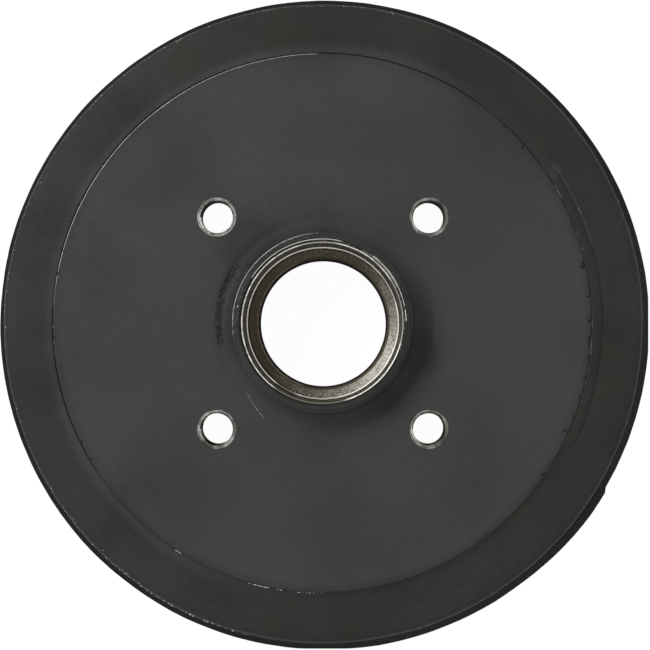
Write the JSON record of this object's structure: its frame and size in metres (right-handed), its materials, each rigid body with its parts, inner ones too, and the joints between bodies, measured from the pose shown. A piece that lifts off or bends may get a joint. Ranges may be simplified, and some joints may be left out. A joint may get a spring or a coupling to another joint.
{
  "type": "brake drum",
  "caption": "Black cast iron brake drum with an integral wheel hub, threaded wheel bolt holes and pressed-in taper bearing cups.",
  "frame": {"origin": "centre of the open rim plane, on the wheel axis", "axes": "+Z along the wheel axis, out of the wheel face; the four wheel bolt holes lie at 45 degrees to X and Y"},
  "size_m": [0.2332, 0.2332, 0.075],
  "materials": {
    "casting": "satin black paint on cast iron",
    "cup_steel": "ground bearing steel with a film of oil"
  },
  "bodies": {
    "root": {"brake_drum": "casting", "outer_bearing_cup": "cup_steel", "inner_bearing_cup": "cup_steel"}
  },
  "joints": []
}
